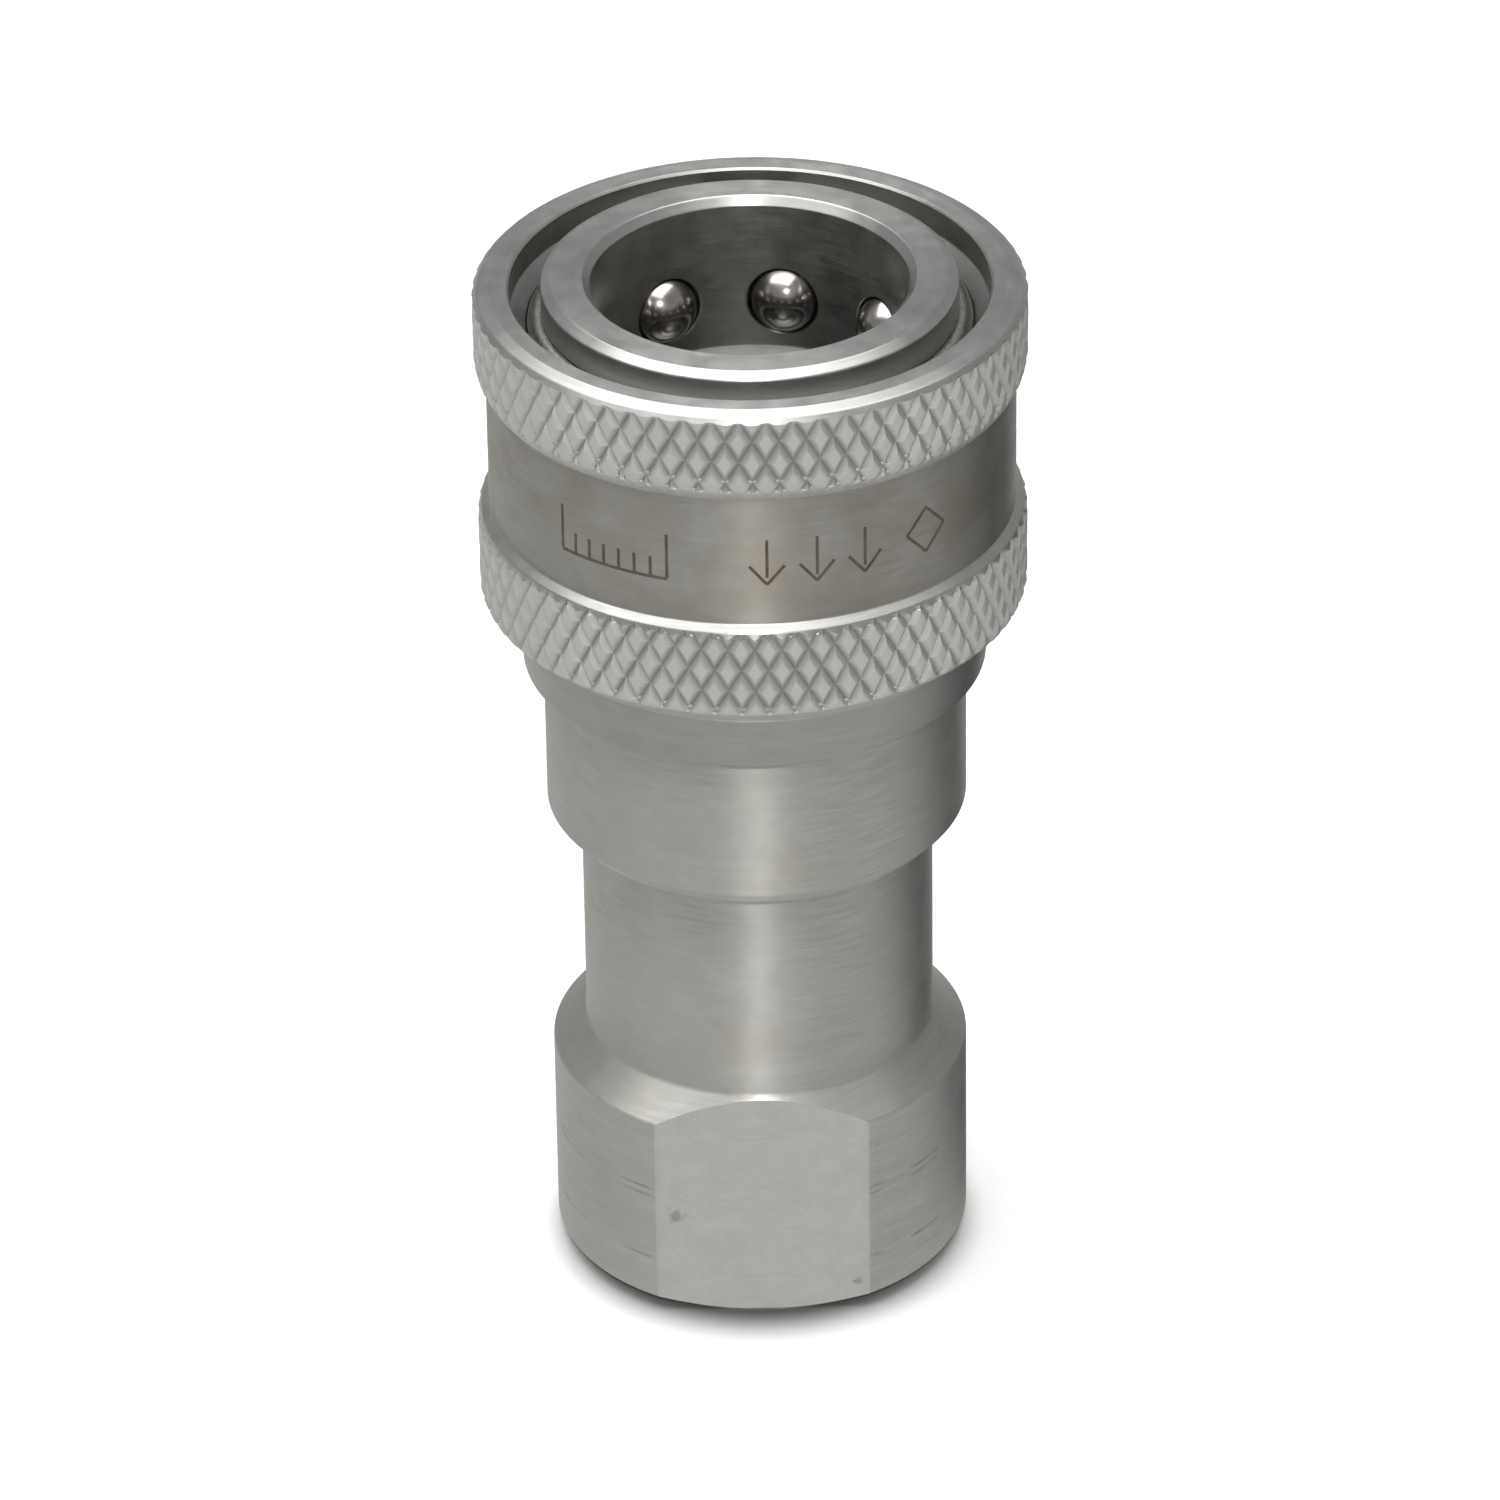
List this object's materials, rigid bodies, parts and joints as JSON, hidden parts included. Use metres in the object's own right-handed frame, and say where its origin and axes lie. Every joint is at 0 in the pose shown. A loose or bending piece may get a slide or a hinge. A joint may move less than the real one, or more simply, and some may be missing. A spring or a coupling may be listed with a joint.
{
  "type": "quick disconnect coupler",
  "caption": "Ball-lock hydraulic quick disconnect socket with knurled pull-back sleeve, locking balls, poppet shut-off valve and a threaded rear port with two wrench flats.",
  "frame": {"origin": "centre of the threaded end's face, the face the coupler stands on", "axes": "+Z along the bore axis, from the threaded end towards the mouth that takes the probe; the two wrench flats face -Y and +Y; +X completes the right-handed frame"},
  "size_m": [0.0254, 0.0254, 0.0516],
  "materials": {
    "turned_steel": "satin",
    "sleeve_steel": "satin",
    "ball_steel": "polished",
    "snap_wire": "satin",
    "spring_wire": "satin",
    "valve_steel": "satin",
    "valve_brass": "satin",
    "seal_rubber": "matte",
    "backup_plastic": "matte"
  },
  "bodies": {
    "socket": {"rear_body": "turned_steel", "socket_body": "turned_steel", "sleeve_snap_ring": "snap_wire", "probe_seal": "seal_rubber", "probe_backup_ring": "backup_plastic", "body_seal": "seal_rubber", "valve_guide": "valve_brass", "poppet_spring": "spring_wire"},
    "spring_carrier": {"sleeve_spring": "spring_wire"},
    "sleeve": {"locking_sleeve": "sleeve_steel"},
    "poppet_body": {"poppet": "valve_steel", "poppet_seal": "seal_rubber", "poppet_cap": "valve_steel"},
    "ball_1": {"lock_ball_1": "ball_steel"},
    "ball_2": {"lock_ball_2": "ball_steel"},
    "ball_3": {"lock_ball_3": "ball_steel"},
    "ball_4": {"lock_ball_4": "ball_steel"},
    "ball_5": {"lock_ball_5": "ball_steel"},
    "ball_6": {"lock_ball_6": "ball_steel"},
    "ball_7": {"lock_ball_7": "ball_steel"},
    "ball_8": {"lock_ball_8": "ball_steel"}
  },
  "joints": [
    {"name": "sleeve_turn", "type": "hinge", "parent": "socket", "child": "spring_carrier", "pos_m": [0, 0, 0.0325], "axis": [0, 0, 1], "continuous": true},
    {"name": "sleeve_slide", "type": "slide", "parent": "spring_carrier", "child": "sleeve", "axis": [0, 0, -1], "range_m": [0, 0.005], "stiffness_N_per_m": 340, "springref_m": -0.0085, "deforming": ["sleeve_spring"]},
    {"name": "poppet_slide", "type": "slide", "parent": "socket", "child": "poppet_body", "axis": [0, 0, -1], "range_m": [0, 0.003], "stiffness_N_per_m": 2500, "springref_m": -0.0035, "deforming": ["poppet_spring"]},
    {"name": "ball_1_slide", "type": "slide", "parent": "socket", "child": "ball_1", "axis": [0.8434, 0.5373, 0], "range_m": [0, 0.00108]},
    {"name": "ball_2_slide", "type": "slide", "parent": "socket", "child": "ball_2", "axis": [0.2164, 0.9763, 0], "range_m": [0, 0.00108]},
    {"name": "ball_3_slide", "type": "slide", "parent": "socket", "child": "ball_3", "axis": [-0.5373, 0.8434, 0], "range_m": [0, 0.00108]},
    {"name": "ball_4_slide", "type": "slide", "parent": "socket", "child": "ball_4", "axis": [-0.9763, 0.2164, 0], "range_m": [0, 0.00108]},
    {"name": "ball_5_slide", "type": "slide", "parent": "socket", "child": "ball_5", "axis": [-0.8434, -0.5373, 0], "range_m": [0, 0.00108]},
    {"name": "ball_6_slide", "type": "slide", "parent": "socket", "child": "ball_6", "axis": [-0.2164, -0.9763, 0], "range_m": [0, 0.00108]},
    {"name": "ball_7_slide", "type": "slide", "parent": "socket", "child": "ball_7", "axis": [0.5373, -0.8434, 0], "range_m": [0, 0.00108]},
    {"name": "ball_8_slide", "type": "slide", "parent": "socket", "child": "ball_8", "axis": [0.9763, -0.2164, 0], "range_m": [0, 0.00108]}
  ],
  "couplings": [
    {"joint": "ball_1_slide", "follows": "sleeve_slide", "ratio": 0.216},
    {"joint": "ball_2_slide", "follows": "sleeve_slide", "ratio": 0.216},
    {"joint": "ball_3_slide", "follows": "sleeve_slide", "ratio": 0.216},
    {"joint": "ball_4_slide", "follows": "sleeve_slide", "ratio": 0.216},
    {"joint": "ball_5_slide", "follows": "sleeve_slide", "ratio": 0.216},
    {"joint": "ball_6_slide", "follows": "sleeve_slide", "ratio": 0.216},
    {"joint": "ball_7_slide", "follows": "sleeve_slide", "ratio": 0.216},
    {"joint": "ball_8_slide", "follows": "sleeve_slide", "ratio": 0.216}
  ]
}
